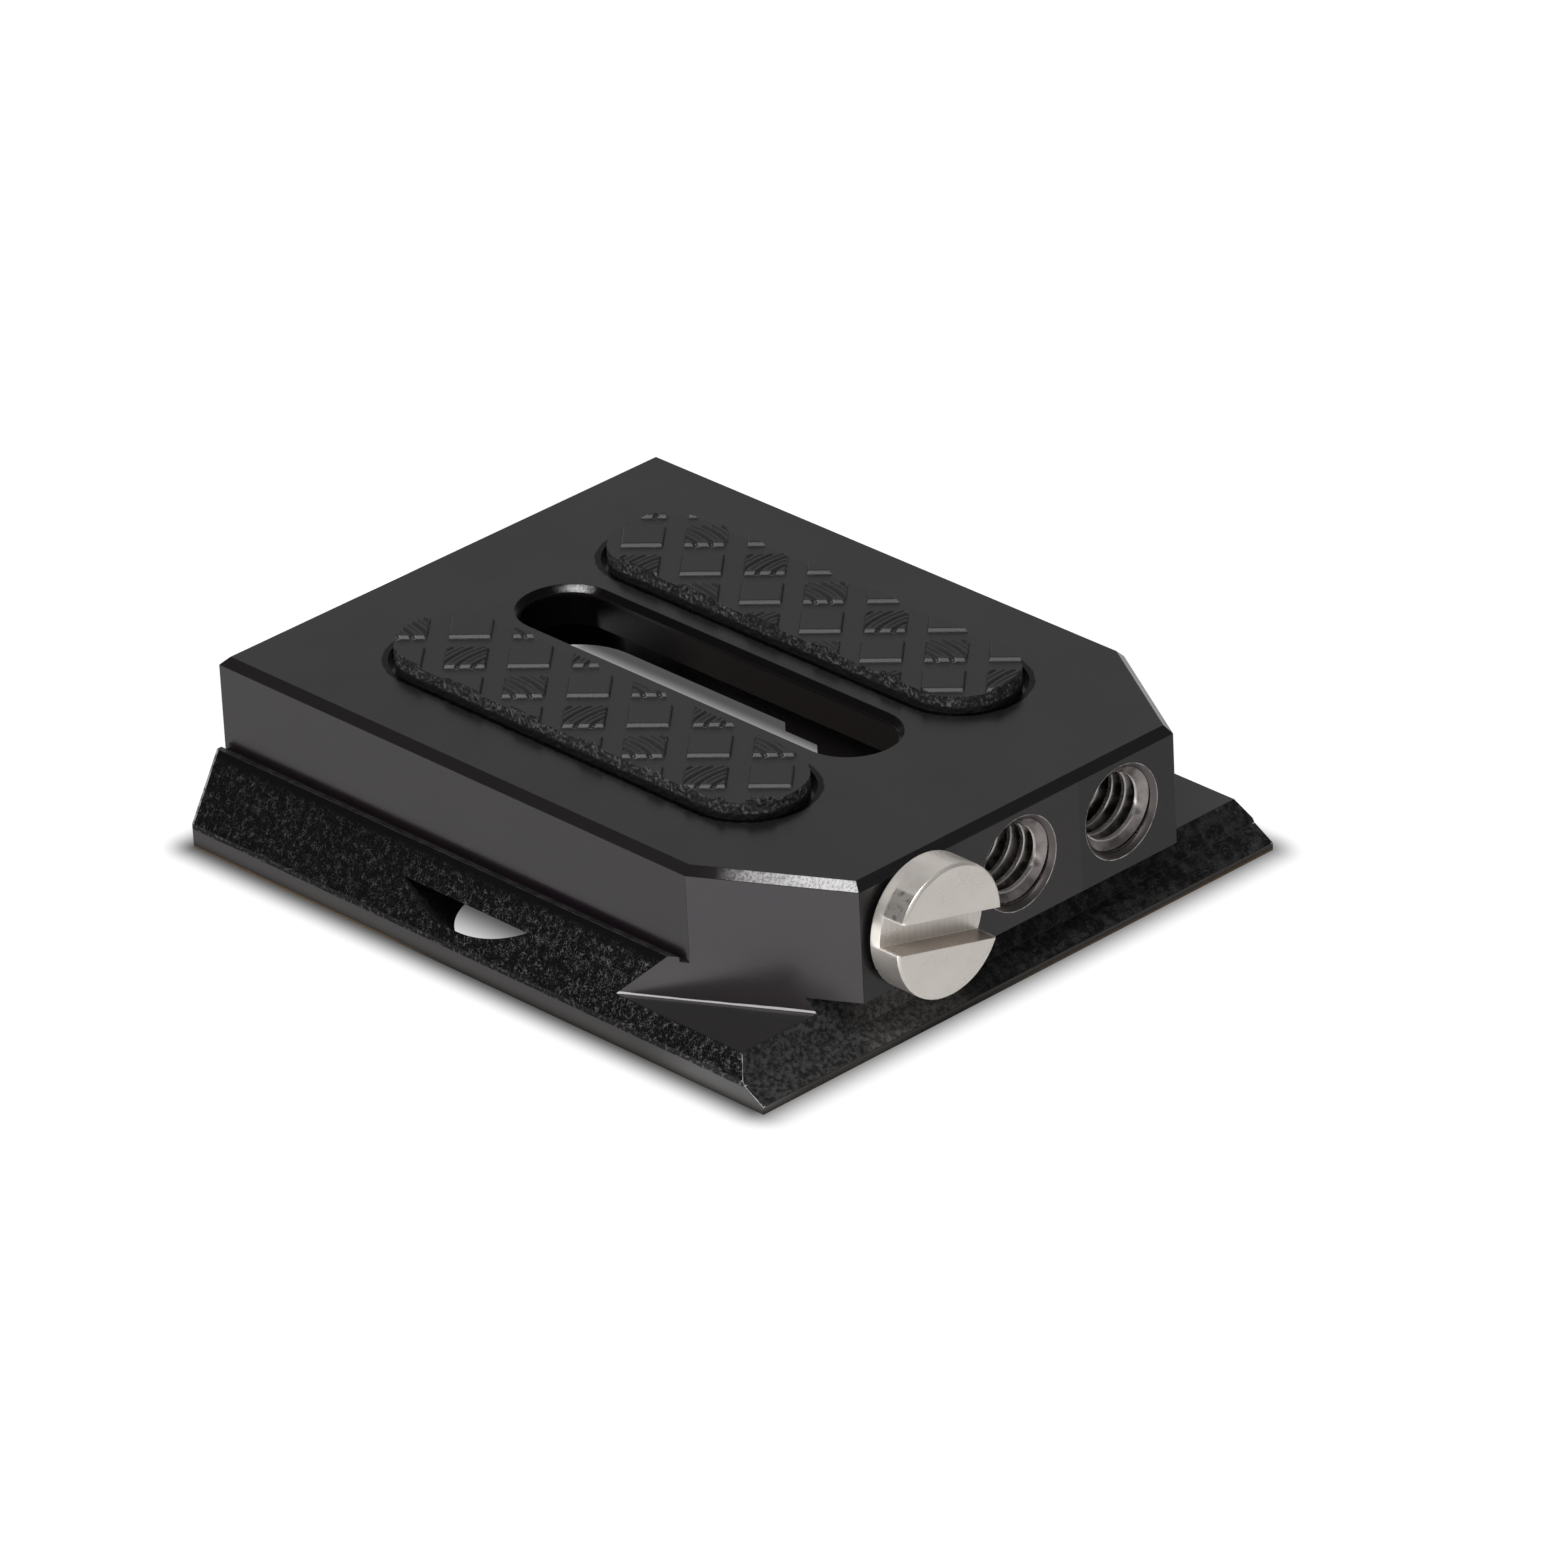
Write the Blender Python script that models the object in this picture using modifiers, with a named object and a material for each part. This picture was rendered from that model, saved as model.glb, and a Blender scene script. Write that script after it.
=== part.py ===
"""Camera quick release plate, modelled in metres.

One machined aluminium plate: a thick block with two cut corners standing on a wider
dovetail base. Three tapped holes sit in a row on the front face, and the left one holds
a slotted camera screw. The top carries two rubber grip pads in shallow recesses, either
side of a long slot for the camera's screw, which is relieved from underneath.

X runs across the plate, Y from front to back, Z up. The origin is at the middle of the
plate's footprint, on the surface that it stands on.
"""

import math

import bmesh
import bpy

# Whole plate and its block
PLATE_LENGTH = 0.0583
PLATE_HEIGHT = 0.0138
TOP_CHAMFER = 0.0006
CORNER_CUT_X = 0.0061
CORNER_CUT_Y = 0.0107
FACE_BOTTOM = 0.0046

# Dovetail base, with a ledge on each side of the block
BASE_WIDTH = 0.0500
SIDE_FOOT = 0.0019
LEDGE_HEIGHT = 0.0068
LEDGE_WIDTH = 0.00077
FLANK_ANGLE = math.radians(60)
BASE_SETBACK = 0.00015
FRONT_FOOT = 0.0006
TOE_TOP = 0.0016
TOE_ANGLE = math.radians(30)
SHELF_HEIGHT = 0.00345
RELIEF_GROOVE = 0.00035

# Camera screw slot, the groove under it for the screw's head, and a wide channel that
# runs out through the back end and has a shallower step at its front
SLOT_WIDTH = 0.0066
SLOT_FRONT = 0.0130
SLOT_END_WALL = 0.0099
SLOT_CHAMFER = 0.00045
SLOT_WEB = 0.0030
HEAD_GROOVE_CLEARANCE = 0.00055
CHANNEL_WIDTH = 0.0330
CHANNEL_FRONT = 0.0257
CHANNEL_CEILING = 0.0080
CHANNEL_CORNER = 0.0030
CHANNEL_STEP_LENGTH = 0.0032
CHANNEL_STEP_HEIGHT = 0.0007

# Round undercut pockets that break out through both flanks
WINDOW_INSET = 0.0092
WINDOW_FROM_BACK = 0.02705
WINDOW_MOUTH_RADIUS = 0.0066
WINDOW_CEILING = 0.0045
WINDOW_FLARE = 0.75

# Tapped holes, 1/4 inch with 20 threads to the inch, cut at their major diameter
THREAD_DIAMETER = 0.00635
HOLE_PITCH = 0.0100
HOLE_HEIGHT = 0.0092
HOLE_DEPTH = 0.0092
HOLE_MOUTH_DIAMETER = 0.0071
DRILL_POINT = 0.0006

# Camera screw, its thread a plain shank at about the pitch diameter
HEAD_DIAMETER = 0.0099
HEAD_HEIGHT = 0.0030
HEAD_EDGE = 0.0002
DRIVER_SLOT_WIDTH = 0.0022
DRIVER_SLOT_DEPTH = 0.0019
DRIVER_SLOT_TILT = math.radians(14)
NECK_DIAMETER = 0.0043
NECK_LENGTH = 0.0030
SHANK_DIAMETER = 0.0055
SHANK_LENGTH = 0.0084
SHANK_END = 0.0005
SEAT_GAP = 0.0003

# Rubber grip pads and their recesses
PAD_SPACING = 0.0207
PAD_WIDTH = 0.0086
PAD_FRONT = 0.0114
PAD_END_WALL = 0.0083
PAD_SIDE_GAP = 0.0004
RECESS_DEPTH = 0.0008
PAD_STAND = 0.00105
PAD_EDGE = 0.00025
TILE_SIZE = 0.0031
TILE_PITCH = 0.00455
TILE_TURN = math.radians(42)
TILE_RISE = 0.0003
TILE_SINK = 0.0002
LEFT_TILE_PLACE = (0.0016, 0.0334)
RIGHT_TILE_PLACE = (-0.0013, 0.0345)

# How finely round shapes are cut, and how far cutters reach past what they cut
ARC_STEPS = 20
HOLE_SIDES = 48
WINDOW_SIDES = 96
OVERCUT = 0.0020
SHARP_ANGLE = math.radians(20)

# Sizes worked out from the ones above
HEAD_REACH = SEAT_GAP + HEAD_HEIGHT
FRONT_Y = (HEAD_REACH - PLATE_LENGTH) / 2
FLANK_RUN = (LEDGE_HEIGHT - SIDE_FOOT) / math.tan(FLANK_ANGLE)
BLOCK_WIDTH = BASE_WIDTH - 2 * (FLANK_RUN + LEDGE_WIDTH)
SLOT_BACK = PLATE_LENGTH - SLOT_END_WALL
WINDOW_X = BASE_WIDTH / 2 - WINDOW_INSET
WINDOW_Y = PLATE_LENGTH - WINDOW_FROM_BACK
PAD_LENGTH = PLATE_LENGTH - PAD_END_WALL - PAD_FRONT
RECESS_FLOOR = PLATE_HEIGHT - RECESS_DEPTH
GROOVE_CEILING = PLATE_HEIGHT - SLOT_WEB


def clear_scene():
    for item in list(bpy.data.objects):
        bpy.data.objects.remove(item, do_unlink=True)


def new_collection(name):
    collection = bpy.data.collections.new(name)
    bpy.context.scene.collection.children.link(collection)
    return collection


def add_object(name, mesh, collection, frame):
    item = bpy.data.objects.new(name, mesh)
    collection.objects.link(item)
    item.parent = frame
    return item


def mesh_from_bmesh(name, shape):
    bmesh.ops.recalc_face_normals(shape, faces=shape.faces)
    mesh = bpy.data.meshes.new(name)
    shape.to_mesh(mesh)
    shape.free()
    return mesh


def prism(name, outline, place, start, end):
    """Extrude a flat outline from start to end, set in the model by place(u, v, w)."""
    shape = bmesh.new()
    near = [shape.verts.new(place(u, v, start)) for u, v in outline]
    made = bmesh.ops.extrude_face_region(shape, geom=[shape.faces.new(near)])
    far = [v for v in made["geom"] if isinstance(v, bmesh.types.BMVert)]
    bmesh.ops.translate(shape, verts=far, vec=place(0, 0, end - start))
    return mesh_from_bmesh(name, shape)


def upright(u, v, w):
    return (u, v, w)


def front_to_back(u, v, w):
    return (u, w, v)


def side_to_side(u, v, w):
    return (w, u, v)


def arc(x, y, radius, start, end, steps):
    turn = (end - start) / steps
    return [(x + radius * math.cos(start + turn * i), y + radius * math.sin(start + turn * i))
            for i in range(steps + 1)]


def stadium(x, front, back, radius):
    """Outline with round ends, long along Y, from front to back."""
    return (arc(x, front + radius, radius, math.pi, 2 * math.pi, ARC_STEPS)
            + arc(x, back - radius, radius, 0, math.pi, ARC_STEPS))


def rounded_rectangle(left, right, front, back, radius):
    quarter, steps = math.pi / 2, ARC_STEPS // 4
    corners = ((right, front, -1, 1, -1), (right, back, -1, -1, 0),
               (left, back, 1, -1, 1), (left, front, 1, 1, 2))
    points = []
    for x, y, step_x, step_y, turn in corners:
        start = turn * quarter
        points += arc(x + step_x * radius, y + step_y * radius, radius,
                      start, start + quarter, steps)
    return points


def add_boolean(item, tool, operation):
    cut = item.modifiers.new(tool.name, "BOOLEAN")
    cut.operation = operation
    cut.solver = "EXACT"
    cut.object = tool


def make_cutter(item):
    item.hide_render = True
    item.display_type = "WIRE"
    return item


def freeze(item):
    """Replace an object's mesh and modifiers with the shape that they make."""
    bpy.context.view_layer.update()
    graph = bpy.context.evaluated_depsgraph_get()
    mesh = bpy.data.meshes.new_from_object(item.evaluated_get(graph))
    item.modifiers.clear()
    item.data = mesh


def chamfer_edges(item, width, chosen, segments=1):
    """Bevel the edges whose two ends both pass the test."""
    shape = bmesh.new()
    shape.from_mesh(item.data)
    edges = [e for e in shape.edges
             if chosen(e) and not (len(e.link_faces) == 2 and e.calc_face_angle() < 0.01)]
    bmesh.ops.bevel(shape, geom=edges, offset=width, offset_type="OFFSET", segments=segments,
                    profile=0.5, affect="EDGES", clamp_overlap=True)
    shape.to_mesh(item.data)
    shape.free()


def make_material(name, colour, roughness, metallic):
    material = bpy.data.materials.new(name)
    material.use_nodes = True
    shader = material.node_tree.nodes["Principled BSDF"]
    shader.inputs["Base Color"].default_value = (*colour, 1)
    shader.inputs["Roughness"].default_value = roughness
    shader.inputs["Metallic"].default_value = metallic
    return material


def shade_round(item):
    item.data.shade_smooth()
    item.data.set_sharp_from_angle(angle=SHARP_ANGLE)


def turned(name, profile, sides, collection, frame):
    """Turn a profile of (radius, height) points, top to bottom, about its own Z axis."""
    shape = bmesh.new()
    verts = [shape.verts.new((radius, 0, height)) for radius, height in profile]
    for upper, lower in zip(verts, verts[1:]):
        shape.edges.new((upper, lower))
    mesh = bpy.data.meshes.new(name)
    shape.to_mesh(mesh)
    shape.free()
    item = add_object(name, mesh, collection, frame)
    screw = item.modifiers.new("turn", "SCREW")
    screw.steps = screw.render_steps = sides
    screw.use_merge_vertices = True
    screw.merge_threshold = 0.000001
    return item


def base_section():
    """Half outline across the plate: a vertical foot, the flank, then the ledge."""
    half = BASE_WIDTH / 2
    right = [(half, 0), (half, SIDE_FOOT), (half - FLANK_RUN, LEDGE_HEIGHT)]
    return right + [(-x, z) for x, z in reversed(right)]


def base_side_outline():
    """Outline seen from the side: foot, flat toe and steep front flank, then the back end.
    The flank runs on above the ledge, where the block's own outline takes over."""
    toe_run = (TOE_TOP - FRONT_FOOT) / math.tan(TOE_ANGLE)
    top = LEDGE_HEIGHT + OVERCUT
    flank_run = (top - TOE_TOP) / math.tan(FLANK_ANGLE)
    toe_end = BASE_SETBACK + toe_run
    back = PLATE_LENGTH + OVERCUT
    return [(BASE_SETBACK, -OVERCUT), (back, -OVERCUT), (back, top),
            (toe_end + flank_run, top), (toe_end, TOE_TOP), (BASE_SETBACK, FRONT_FOOT)]


def corner_outline(side):
    """Triangle outside the slanting cut of one front corner, seen from above."""
    slope = CORNER_CUT_X / CORNER_CUT_Y
    inner = BLOCK_WIDTH / 2 - CORNER_CUT_X - OVERCUT * slope
    outer = BASE_WIDTH / 2 + OVERCUT
    far = (outer - inner) / slope - OVERCUT
    return [(side * inner, -OVERCUT), (side * outer, -OVERCUT), (side * outer, far)]


def build_body_form(collection, cutters, frame):
    """The block and its dovetail base, with cut corners and the chamfer round the top."""
    body = add_object("plate_body", prism(
        "plate_body", base_section(), front_to_back, 0, PLATE_LENGTH), collection, frame)

    side_form = make_cutter(add_object("base_side_form", prism(
        "base_side_form", base_side_outline(), side_to_side,
        -BASE_WIDTH / 2 - OVERCUT, BASE_WIDTH / 2 + OVERCUT), cutters, frame))
    add_boolean(body, side_form, "INTERSECT")

    half = BLOCK_WIDTH / 2
    block_outline = [(-half, 0), (half, 0), (half, PLATE_LENGTH), (-half, PLATE_LENGTH)]
    block = make_cutter(add_object("block_form", prism(
        "block_form", block_outline, upright, FACE_BOTTOM, PLATE_HEIGHT), cutters, frame))
    add_boolean(body, block, "UNION")

    for side, name in ((-1, "left_corner_cut"), (1, "right_corner_cut")):
        corner = make_cutter(add_object(name, prism(
            name, corner_outline(side), upright,
            SHELF_HEIGHT, PLATE_HEIGHT + OVERCUT), cutters, frame))
        add_boolean(body, corner, "DIFFERENCE")

    freeze(body)

    def on_top(edge):
        return all(v.co.z > PLATE_HEIGHT - TOP_CHAMFER / 2 for v in edge.verts)

    chamfer_edges(body, TOP_CHAMFER, on_top)
    return body


def cut_relief_grooves(body, cutters, frame):
    """Fine grooves at the foot of the block's sides, along the ledges."""
    half = BLOCK_WIDTH / 2
    for side, name in ((-1, "left_relief"), (1, "right_relief")):
        inner, outer = side * half, side * (half + RELIEF_GROOVE)
        outline = [(inner, LEDGE_HEIGHT - RELIEF_GROOVE), (outer, LEDGE_HEIGHT - RELIEF_GROOVE),
                   (outer, LEDGE_HEIGHT + RELIEF_GROOVE), (inner, LEDGE_HEIGHT + RELIEF_GROOVE)]
        groove = make_cutter(add_object(name, prism(
            name, outline, front_to_back, -OVERCUT, PLATE_LENGTH + OVERCUT), cutters, frame))
        add_boolean(body, groove, "DIFFERENCE")


def cut_slot(body, cutters, frame):
    """The long slot, and the chamfer round its mouth."""
    radius = SLOT_WIDTH / 2
    slot = make_cutter(add_object("slot_cut", prism(
        "slot_cut", stadium(0, SLOT_FRONT, SLOT_BACK, radius), upright,
        GROOVE_CEILING - OVERCUT, PLATE_HEIGHT + OVERCUT), cutters, frame))
    add_boolean(body, slot, "DIFFERENCE")
    freeze(body)

    def at_mouth(edge):
        return all(v.co.z > PLATE_HEIGHT - SLOT_CHAMFER / 2
                   and abs(v.co.x) < radius + SLOT_CHAMFER
                   and SLOT_FRONT - SLOT_CHAMFER < v.co.y < SLOT_BACK + SLOT_CHAMFER
                   for v in edge.verts)

    chamfer_edges(body, SLOT_CHAMFER, at_mouth)


def cut_head_room(body, cutters, frame):
    """Under the slot, a groove for the screw's head that opens down into a wide channel."""
    groove_radius = HEAD_DIAMETER / 2 + HEAD_GROOVE_CLEARANCE
    margin = groove_radius - SLOT_WIDTH / 2
    groove = make_cutter(add_object("head_groove_cut", prism(
        "head_groove_cut",
        stadium(0, SLOT_FRONT - margin, SLOT_BACK + margin, groove_radius), upright,
        -OVERCUT, GROOVE_CEILING), cutters, frame))
    add_boolean(body, groove, "DIFFERENCE")

    half = CHANNEL_WIDTH / 2
    back = PLATE_LENGTH + CHANNEL_CORNER + OVERCUT
    for name, front, ceiling in (
            ("channel_step_cut", CHANNEL_FRONT, CHANNEL_CEILING - CHANNEL_STEP_HEIGHT),
            ("channel_cut", CHANNEL_FRONT + CHANNEL_STEP_LENGTH, CHANNEL_CEILING)):
        channel = make_cutter(add_object(name, prism(
            name, rounded_rectangle(-half, half, front, back, CHANNEL_CORNER), upright,
            -OVERCUT, ceiling), cutters, frame))
        add_boolean(body, channel, "DIFFERENCE")


def cut_windows(body, cutters, frame):
    """Undercut round pockets from below, wider at their ceiling than at their mouth."""
    height = WINDOW_CEILING + OVERCUT
    low_radius = WINDOW_MOUTH_RADIUS - WINDOW_FLARE * OVERCUT
    high_radius = WINDOW_MOUTH_RADIUS + WINDOW_FLARE * WINDOW_CEILING
    for side, name in ((-1, "left_window_cut"), (1, "right_window_cut")):
        shape = bmesh.new()
        bmesh.ops.create_cone(shape, cap_ends=True, segments=WINDOW_SIDES,
                              radius1=low_radius, radius2=high_radius, depth=height)
        window = make_cutter(add_object(name, mesh_from_bmesh(name, shape), cutters, frame))
        window.location = (side * WINDOW_X, WINDOW_Y, WINDOW_CEILING - height / 2)
        add_boolean(body, window, "DIFFERENCE")


def cut_holes(body, cutters, frame):
    """Blind tapped holes in the front face, countersunk at the mouth."""
    radius, mouth = THREAD_DIAMETER / 2, HOLE_MOUTH_DIAMETER / 2
    profile = [(0, OVERCUT), (mouth + OVERCUT, OVERCUT), (radius, radius - mouth),
               (radius, -HOLE_DEPTH), (0, -HOLE_DEPTH - DRILL_POINT)]
    for step, name in ((-1, "left_hole_cut"), (0, "middle_hole_cut"), (1, "right_hole_cut")):
        hole = make_cutter(turned(name, profile, HOLE_SIDES, cutters, frame))
        hole.location = (step * HOLE_PITCH, 0, HOLE_HEIGHT)
        hole.rotation_euler = (math.pi / 2, 0, 0)
        add_boolean(body, hole, "DIFFERENCE")


def cut_recesses(body, cutters, frame):
    """Shallow recesses in the top that hold the grip pads."""
    radius = PAD_WIDTH / 2 + PAD_SIDE_GAP
    front, back = PAD_FRONT - PAD_SIDE_GAP, PAD_FRONT + PAD_LENGTH + PAD_SIDE_GAP
    for side, name in ((-1, "left_recess_cut"), (1, "right_recess_cut")):
        recess = make_cutter(add_object(name, prism(
            name, stadium(side * PAD_SPACING / 2, front, back, radius), upright,
            RECESS_FLOOR, PLATE_HEIGHT + OVERCUT), cutters, frame))
        add_boolean(body, recess, "DIFFERENCE")


def build_plate(collection, cutters, frame):
    body = build_body_form(collection, cutters, frame)
    cut_slot(body, cutters, frame)
    cut_relief_grooves(body, cutters, frame)
    cut_head_room(body, cutters, frame)
    cut_windows(body, cutters, frame)
    cut_holes(body, cutters, frame)
    cut_recesses(body, cutters, frame)
    freeze(body)
    shade_round(body)
    body.data.materials.clear()
    body.data.materials.append(make_material("black_anodised", (0.035, 0.034, 0.036), 0.4, 0.8))


def tile_outline(x, y):
    """A square tile in line with the lattice, standing nearly on its corner."""
    reach = TILE_SIZE / math.sqrt(2)
    return arc(x, y, reach, TILE_TURN + math.pi / 4, TILE_TURN + math.pi * 7 / 4, 3)


def tile_places(x, first):
    """Centres of the tiles that may touch a pad at x: a square lattice, turned so that its
    rows run across the pad at a slant."""
    step_x, step_y = TILE_PITCH * math.cos(TILE_TURN), TILE_PITCH * math.sin(TILE_TURN)
    count = math.ceil(PAD_LENGTH / TILE_PITCH)
    places = []
    for i in range(-count, count + 1):
        for j in range(-count, count + 1):
            px = x + first[0] + i * step_x + j * step_y
            py = first[1] + i * step_y - j * step_x
            across = abs(px - x) < (PAD_WIDTH + TILE_SIZE) / 2
            along = PAD_FRONT - TILE_SIZE / 2 < py < PAD_FRONT + PAD_LENGTH + TILE_SIZE / 2
            if across and along:
                places.append((px, py))
    return places


def build_pad(name, side, first, collection, cutters, frame):
    """A rubber strip with a lattice of low square tiles moulded on its top."""
    x, radius = side * PAD_SPACING / 2, PAD_WIDTH / 2
    top = PLATE_HEIGHT + PAD_STAND
    back = PAD_FRONT + PAD_LENGTH
    pad = add_object(name, prism(name, stadium(x, PAD_FRONT, back, radius), upright,
                                 RECESS_FLOOR + SEAT_GAP, top), collection, frame)

    def on_top(edge):
        return all(v.co.z > top - PAD_EDGE / 2 for v in edge.verts)

    chamfer_edges(pad, PAD_EDGE, on_top, 2)

    shape = bmesh.new()
    for px, py in tile_places(x, first):
        tile = prism("tile", tile_outline(px, py), upright, top - TILE_SINK, top + TILE_RISE)
        shape.from_mesh(tile)
        bpy.data.meshes.remove(tile)
    tiles = make_cutter(add_object(name + "_tiles", mesh_from_bmesh("tiles", shape), cutters, frame))
    trim = make_cutter(add_object(name + "_trim", prism(
        "trim", stadium(x, PAD_FRONT + PAD_EDGE, back - PAD_EDGE, radius - PAD_EDGE), upright,
        top - OVERCUT, top + OVERCUT), cutters, frame))
    add_boolean(tiles, trim, "INTERSECT")
    add_boolean(pad, tiles, "UNION")
    freeze(pad)
    shade_round(pad)
    pad.data.materials.clear()
    pad.data.materials.append(make_material(name + "_rubber", (0.022, 0.022, 0.024), 0.6, 0.0))


def build_camera_screw(collection, cutters, frame):
    """Slotted screw parked in the left hole: a wide head, a plain neck, a short thread."""
    head, neck, shank = HEAD_DIAMETER / 2, NECK_DIAMETER / 2, SHANK_DIAMETER / 2
    profile = [(0, HEAD_HEIGHT), (head - HEAD_EDGE, HEAD_HEIGHT), (head, HEAD_HEIGHT - HEAD_EDGE),
               (head, HEAD_EDGE), (head - HEAD_EDGE, 0), (neck, 0), (neck, -NECK_LENGTH),
               (shank, -NECK_LENGTH - (shank - neck)), (shank, SHANK_END - SHANK_LENGTH),
               (shank - SHANK_END, -SHANK_LENGTH), (0, -SHANK_LENGTH)]
    screw = turned("camera_screw", profile, HOLE_SIDES, collection, frame)

    shape = bmesh.new()
    bmesh.ops.create_cube(shape, size=1)
    bmesh.ops.scale(shape, verts=shape.verts, vec=(
        HEAD_DIAMETER + OVERCUT, DRIVER_SLOT_WIDTH, DRIVER_SLOT_DEPTH + OVERCUT))
    slot = make_cutter(add_object(
        "driver_slot_cut", mesh_from_bmesh("driver_slot_cut", shape), cutters, frame))

    place = (-HOLE_PITCH, -SEAT_GAP, HOLE_HEIGHT)
    screw.location = place
    screw.rotation_euler = (math.pi / 2, 0, 0)
    middle = HEAD_HEIGHT - DRIVER_SLOT_DEPTH / 2 + OVERCUT / 2
    slot.location = (place[0], place[1] - middle, place[2])
    slot.rotation_euler = (math.pi / 2, DRIVER_SLOT_TILT, 0)
    add_boolean(screw, slot, "DIFFERENCE")
    freeze(screw)
    shade_round(screw)
    screw.data.materials.clear()
    screw.data.materials.append(make_material("stainless_steel", (0.62, 0.60, 0.57), 0.3, 1.0))


def main():
    clear_scene()
    parts = new_collection("quick_release_plate")
    cutters = new_collection("cutters")
    frame = bpy.data.objects.new("plate_frame", None)
    frame.location = (0, FRONT_Y, 0)
    parts.objects.link(frame)
    build_plate(parts, cutters, frame)
    build_pad("grip_pad_left", -1, LEFT_TILE_PLACE, parts, cutters, frame)
    build_pad("grip_pad_right", 1, RIGHT_TILE_PLACE, parts, cutters, frame)
    build_camera_screw(parts, cutters, frame)


main()
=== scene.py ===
"""Looks of a camera quick release plate: blasted black anodising, bright threads, a turned
stainless screw, and moulded rubber pads with cut sides. Lengths are in metres."""

import functools
import math

import bmesh
import bpy
from mathutils import Matrix, Vector, noise


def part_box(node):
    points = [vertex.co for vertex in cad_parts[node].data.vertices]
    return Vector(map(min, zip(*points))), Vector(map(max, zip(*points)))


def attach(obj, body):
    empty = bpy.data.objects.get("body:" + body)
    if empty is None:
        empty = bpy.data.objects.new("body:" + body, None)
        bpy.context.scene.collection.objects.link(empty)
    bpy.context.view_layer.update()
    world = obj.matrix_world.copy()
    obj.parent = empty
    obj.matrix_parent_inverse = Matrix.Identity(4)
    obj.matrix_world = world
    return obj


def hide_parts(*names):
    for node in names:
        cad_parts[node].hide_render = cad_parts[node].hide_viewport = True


MM = 0.001
MICRON = 0.000001

# The photograph's view, about the middle of the plate's length
VIEW_AZIMUTH = math.radians(-42.84)
VIEW_ELEVATION = math.radians(27.96)
VIEW_ROLL = math.radians(2.93)
VIEW_DISTANCE = 829.2 * MM
VIEW_ACROSS = 3.41 * MM
VIEW_UP = 4.87 * MM
LENS_LENGTH = 270.8
SENSOR_WIDTH = 36

# Lamps: name, direction from the plate, distance, width and depth, brightness as seen
LAMPS = (
    ("key", (-0.54, 0.0, 0.84), 0.6, (0.24, 0.24), 10),
    ("top", (-0.34, -0.34, 0.88), 0.7, (0.3, 0.3), 4.5),
    ("back_panel", (0.6, 0.65, 0.5), 0.8, (0.9, 0.42), 0.3),
    ("front_fill", (-0.5, -0.6, 0.45), 1.0, (0.5, 0.25), 0.6),
)

# Plate: the foot under its flanks, the toe before its front flank, and the way that the
# left corner cut faces
FOOT_HEIGHT = 1.9 * MM
TOE_HEIGHT = 1.6 * MM
RIDGE_FROM_FRONT = 1.88 * MM
FLANK_LEAN = math.radians(30)
CUT_FACING = (-0.869, -0.495)
PLATE_ROUND = 0.07 * MM

# Its material slots, and how its sloping faces are told: by how far they face up and how
# low they lie, but not the countersinks, which lie higher and close to the front
EDGE_SLOT = 1
SLOPE_SLOT = 2
SLOPES_FACE = (0.3, 0.95)
SLOPES_BELOW = 7 * MM
SINKS_ABOVE = 4.5 * MM
SINKS_WITHIN = 1 * MM

# Colours laid over the blasted black, from first to last
PLATE_COATS = (
    # painted light: the faces that look left, a little lighter than the top
    ("left", (0.0125, 0.0088, 0.0110)),
    ("shelf", (0.026, 0.0245, 0.0255)),
    ("slot_front", (0.021, 0.0175, 0.0165)),
    ("ledge", (0.024, 0.0225, 0.023)),
    # painted light: the front foot paler and warm, as if lit from the floor
    ("front_foot", (0.045, 0.041, 0.036)),
    # the side foot's own smooth band, painted paler towards the floor as if lit from it
    ("side_foot", (0.022, 0.017, 0.0135)),
    # painted glint: a warm bright line along the bottom edge
    ("underside_glint", (0.13, 0.085, 0.05)),
    # painted light: the corner cut a little lighter than the top
    ("corner_cut", (0.0165, 0.0120, 0.0150)),
    # painted light: the corner cut lighter again low down
    ("corner_low", (0.040, 0.034, 0.036)),
    ("corner_bar", (0.9, 0.88, 0.87)),
    # painted highlight on the chamfers that face the way of the cut corner, weaker by the
    # slot
    ("corner_rim", (0.36, 0.35, 0.36)),
)

# Tapped holes in the front face: 1/4 inch, 20 threads to the inch
HOLE_PITCH = 10.0 * MM
HOLE_HEIGHT = 9.2 * MM
THREAD_RADIUS = 3.175 * MM
THREAD_PITCH = 1.27 * MM
THREAD_DEPTH = 0.687 * MM
THREAD_CREST = 0.32 * MM
THREAD_LENGTH = 8.4 * MM
THREAD_FLANK = math.radians(30)
WALL_GAP = 0.015 * MM
MOUTH_RADIUS = 3.55 * MM
TURN_STEPS = 60

# Parked screw
SHANK_ROOT = 2.7 * MM
SHANK_CREST = 3.1 * MM
SHANK_FOOT_HALF = 0.36 * MM
SHANK_CREST_HALF = 0.1 * MM
SHANK_THREAD_START = 4.4 * MM
SHANK_THREAD_END = 8.0 * MM
TURNING_STEP = 0.09 * MM
TOOL_MARK_STEP = 0.55 * MM
SCREW_ROUND = 0.12 * MM

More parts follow.
